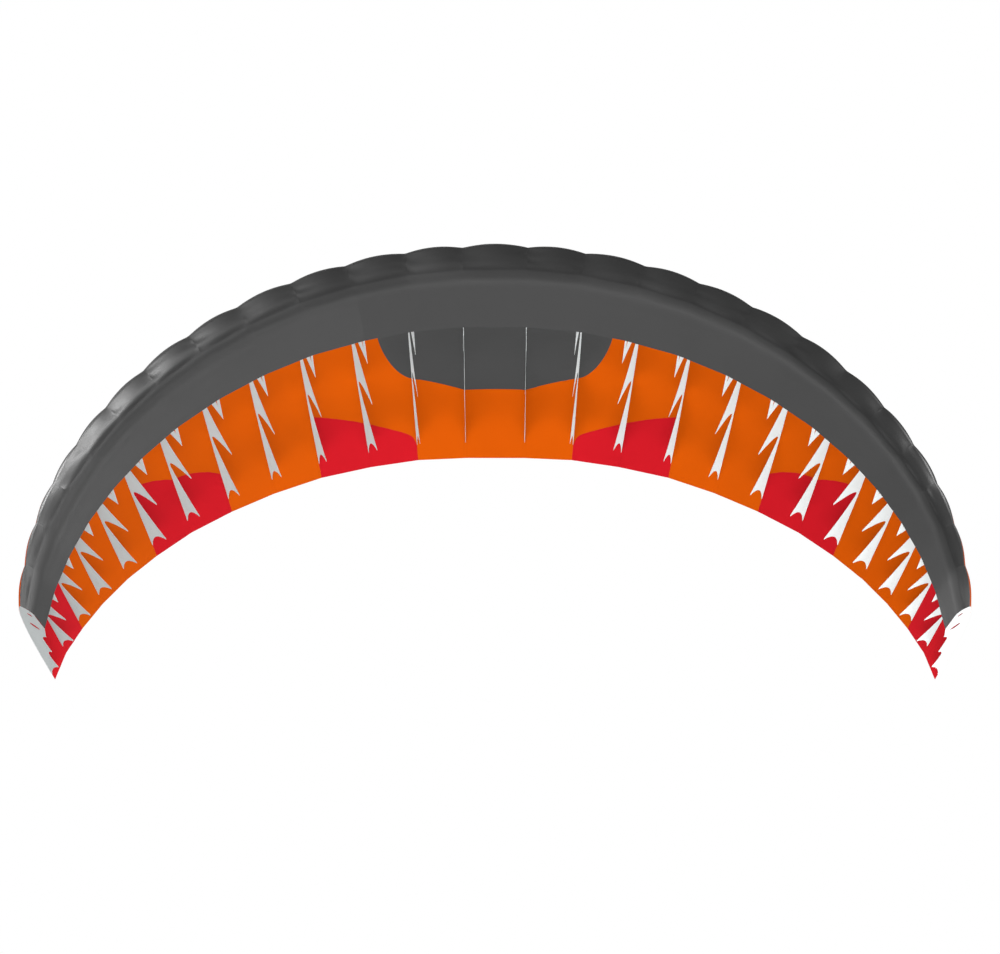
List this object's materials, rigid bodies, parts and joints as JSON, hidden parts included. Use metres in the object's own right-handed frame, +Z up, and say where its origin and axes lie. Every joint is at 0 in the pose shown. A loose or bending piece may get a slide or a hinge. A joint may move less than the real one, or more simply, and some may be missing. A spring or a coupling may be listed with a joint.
{
  "type": "parawing",
  "caption": "Arched single-skin parawing in its flying shape, with a closed grey nose, orange and red upper cloth, and white scalloped ribs whose teeth end in line tabs.",
  "frame": {"origin": "midway between the lower ends of the front teeth of the two centre ribs", "axes": "+X along the span, to the right as seen from the front, where nodes with R lie; +Y aft, with the nose towards -Y; +Z up; X = 0 is the plane of symmetry"},
  "size_m": [3.4832, 1.2738, 1.1301],
  "materials": {
    "grey_cloth": "satin coated ripstop cloth, dark grey",
    "orange_cloth": "thin coated ripstop cloth, orange",
    "red_cloth": "thin coated ripstop cloth, red",
    "white_cloth": "matt uncoated ripstop cloth, white"
  },
  "bodies": {
    "root": {"rib_L01": "white_cloth", "rib_L02": "white_cloth", "rib_L03": "white_cloth", "rib_L04": "white_cloth", "rib_L05": "white_cloth", "rib_L06": "white_cloth", "rib_L07": "white_cloth", "rib_L08": "white_cloth", "rib_L09": "white_cloth", "rib_L10": "white_cloth", "rib_L11": "white_cloth", "rib_L12": "white_cloth", "rib_L13": "white_cloth", "rib_R01": "white_cloth", "rib_R02": "white_cloth", "rib_R03": "white_cloth", "rib_R04": "white_cloth", "rib_R05": "white_cloth", "rib_R06": "white_cloth", "rib_R07": "white_cloth", "rib_R08": "white_cloth", "rib_R09": "white_cloth", "rib_R10": "white_cloth", "rib_R11": "white_cloth", "rib_R12": "white_cloth", "rib_R13": "white_cloth", "skin_L01": "orange_cloth", "skin_L02": "orange_cloth", "skin_L03": "orange_cloth", "skin_L04": "orange_cloth", "skin_L05": "orange_cloth", "skin_L06": "orange_cloth", "skin_L07": "orange_cloth", "skin_L08": "orange_cloth", "skin_L09": "orange_cloth", "skin_L10": "orange_cloth", "skin_L11": "red_cloth", "skin_L12": "red_cloth", "skin_R01": "orange_cloth", "skin_R02": "orange_cloth", "skin_R03": "orange_cloth", "skin_R04": "orange_cloth", "skin_R05": "orange_cloth", "skin_R06": "orange_cloth", "skin_R07": "orange_cloth", "skin_R08": "orange_cloth", "skin_R09": "orange_cloth", "skin_R10": "orange_cloth", "skin_R11": "red_cloth", "skin_R12": "red_cloth", "skin_centre": "orange_cloth", "insert_L_inner": "red_cloth", "insert_L_outer": "red_cloth", "insert_R_inner": "red_cloth", "insert_R_outer": "red_cloth", "patch_centre": "grey_cloth", "nose_L": "grey_cloth", "nose_centre": "grey_cloth", "nose_R": "grey_cloth"}
  },
  "joints": []
}
